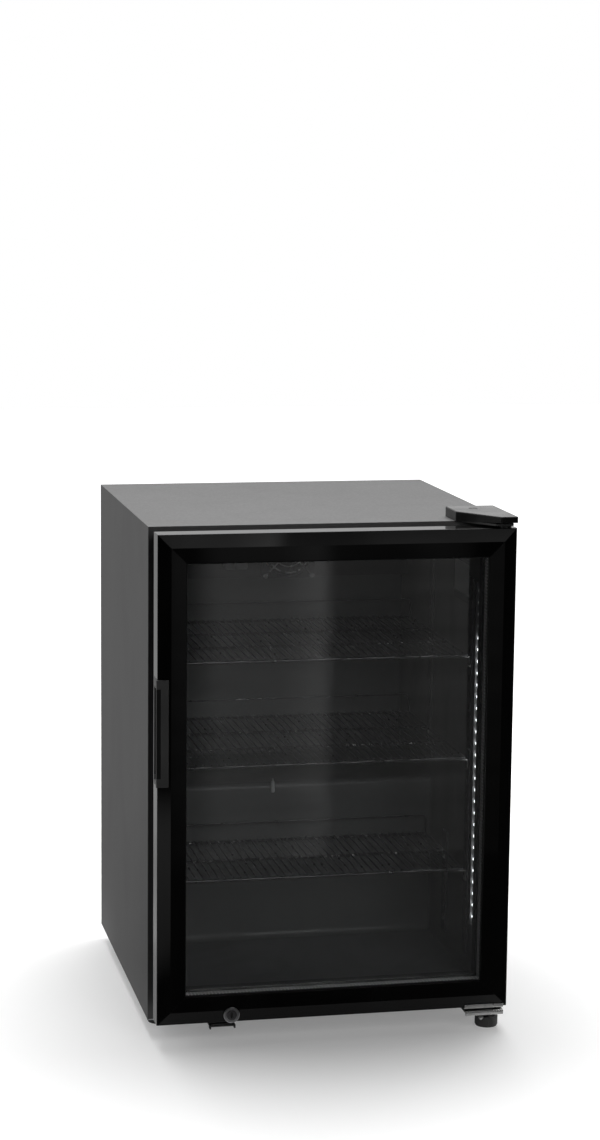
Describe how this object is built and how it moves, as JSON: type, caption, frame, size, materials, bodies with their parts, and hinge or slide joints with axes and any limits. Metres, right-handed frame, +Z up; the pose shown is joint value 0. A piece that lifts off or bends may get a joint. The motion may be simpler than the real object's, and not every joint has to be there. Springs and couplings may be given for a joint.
{
  "type": "undercounter refrigerator",
  "caption": "Small glass-door refrigerator that stands under a counter, with wire shelves, a lit cabin, a lockable hinged door and a fan-cooled back.",
  "frame": {"origin": "on the floor, at the middle of the floor area that the refrigerator covers", "axes": "+Z up, -Y out of the door's front, +X to the hinge side on the right as seen from the front"},
  "size_m": [0.5, 0.54, 0.724],
  "materials": {
    "cabinet_paint": "satin dark grey powder coat on steel",
    "galvanised": "zinc-coated sheet",
    "foam": null,
    "liner": "fine-grained dark grey sheet",
    "panel_paint": "satin dark grey",
    "door_frame": "gloss black profile",
    "moulded_black": "fine moulded grain",
    "glass": "clear low-emission float glass",
    "spacer": "perforated mill-finish bar",
    "gasket": "soft black magnetic seal",
    "zinc_steel": "bright zinc plate",
    "lock_chrome": "polished, lightly scratched",
    "copper": "drawn copper tube",
    "fin_aluminium": "thin mill-finish fins",
    "compressor_black": "semi-gloss black enamel",
    "shelf_wire": "grey-coated wire with a satin sheen",
    "led_tape": "white tape with emitting chips",
    "knob_grey": "light grey moulding",
    "foot_rubber": "ribbed dark nylon"
  },
  "bodies": {
    "cabinet": {"side_panels": "cabinet_paint", "top_panel": "cabinet_paint", "rear_panel": "galvanised", "base_plate": "galvanised", "front_frame": "panel_paint", "foam_insulation": "foam", "inner_liner": "liner", "compressor_bulkhead": "galvanised", "rear_grille": "panel_paint", "cable_gland": "gasket", "foot_inserts": "zinc_steel", "evaporator_cover": "panel_paint", "evaporator_fins": "fin_aluminium", "evaporator_tube": "copper", "evaporator_fan_housing": "moulded_black", "fan_guard": "zinc_steel", "thermostat_body": "knob_grey", "drain_tray": "moulded_black", "compressor": "compressor_black", "compressor_grommets": "gasket", "terminal_cover": "moulded_black", "condenser_fins": "fin_aluminium", "condenser_tube": "copper", "condenser_fan_housing": "moulded_black", "refrigerant_pipes": "copper", "pilasters": "panel_paint", "shelf_clips": "zinc_steel", "led_strip": "led_tape", "top_hinge_plate": "compressor_black", "hinge_screws": "zinc_steel", "hinge_pins": "zinc_steel", "hinge_cover": "moulded_black", "hinge_cover_plug": "moulded_black", "lower_hinge_bracket": "zinc_steel", "lock_strike": "compressor_black"},
    "door": {"door_top_rail": "door_frame", "door_bottom_rail": "door_frame", "door_left_stile": "door_frame", "door_right_stile": "door_frame", "inner_pane": "glass", "outer_pane": "glass", "pane_spacer": "spacer", "door_back_frame": "moulded_black", "door_gasket": "gasket", "door_handle": "moulded_black", "door_shoe": "zinc_steel", "hinge_bushes": "moulded_black", "lock_housing": "lock_chrome"},
    "door_lock": {"lock_barrel": "lock_chrome", "lock_cam": "zinc_steel"},
    "cold_fan": {"evaporator_fan_rotor": "moulded_black"},
    "bay_fan": {"condenser_fan_rotor": "moulded_black"},
    "temperature_knob": {"thermostat_knob": "knob_grey"},
    "top_shelf": {"upper_shelf": "shelf_wire"},
    "mid_shelf": {"middle_shelf": "shelf_wire"},
    "low_shelf": {"lower_shelf": "shelf_wire"},
    "foot_front_right": {"front_right_foot": "foot_rubber"},
    "foot_front_left": {"front_left_foot": "foot_rubber"},
    "foot_rear_left": {"rear_left_foot": "foot_rubber"},
    "foot_rear_right": {"rear_right_foot": "foot_rubber"}
  },
  "joints": [
    {"name": "door_swing", "type": "hinge", "parent": "cabinet", "child": "door", "pos_m": [0.234, -0.2494, 0.36], "axis": [0, 0, 1], "range_deg": [0, 120]},
    {"name": "lock_turn", "type": "hinge", "parent": "door", "child": "door_lock", "pos_m": [-0.1444, -0.26, 0.0447], "axis": [0, -1, 0], "range_deg": [0, 90]},
    {"name": "cold_fan_spin", "type": "hinge", "parent": "cabinet", "child": "cold_fan", "pos_m": [0.0215, 0.1855, 0.616], "axis": [0, -1, 0], "continuous": true},
    {"name": "bay_fan_spin", "type": "hinge", "parent": "cabinet", "child": "bay_fan", "pos_m": [-0.1672, 0.18, 0.0832], "axis": [1, 0, 0], "continuous": true},
    {"name": "temperature_turn", "type": "hinge", "parent": "cabinet", "child": "temperature_knob", "pos_m": [-0.058, 0.169, 0.604], "axis": [0, -1, 0], "range_deg": [0, 300]},
    {"name": "top_shelf_lift", "type": "slide", "parent": "cabinet", "child": "top_shelf", "axis": [0, 0, 1], "range_m": [0, 0.02]},
    {"name": "mid_shelf_lift", "type": "slide", "parent": "cabinet", "child": "mid_shelf", "axis": [0, 0, 1], "range_m": [0, 0.02]},
    {"name": "low_shelf_lift", "type": "slide", "parent": "cabinet", "child": "low_shelf", "axis": [0, 0, 1], "range_m": [0, 0.02]},
    {"name": "front_right_level", "type": "hinge", "parent": "cabinet", "child": "foot_front_right", "pos_m": [0.225, -0.238, 0.01], "axis": [0, 0, 1], "continuous": true},
    {"name": "front_left_level", "type": "hinge", "parent": "cabinet", "child": "foot_front_left", "pos_m": [-0.225, -0.14, 0.01], "axis": [0, 0, 1], "continuous": true},
    {"name": "rear_left_level", "type": "hinge", "parent": "cabinet", "child": "foot_rear_left", "pos_m": [-0.225, 0.185, 0.01], "axis": [0, 0, 1], "continuous": true},
    {"name": "rear_right_level", "type": "hinge", "parent": "cabinet", "child": "foot_rear_right", "pos_m": [0.225, 0.185, 0.01], "axis": [0, 0, 1], "continuous": true}
  ]
}
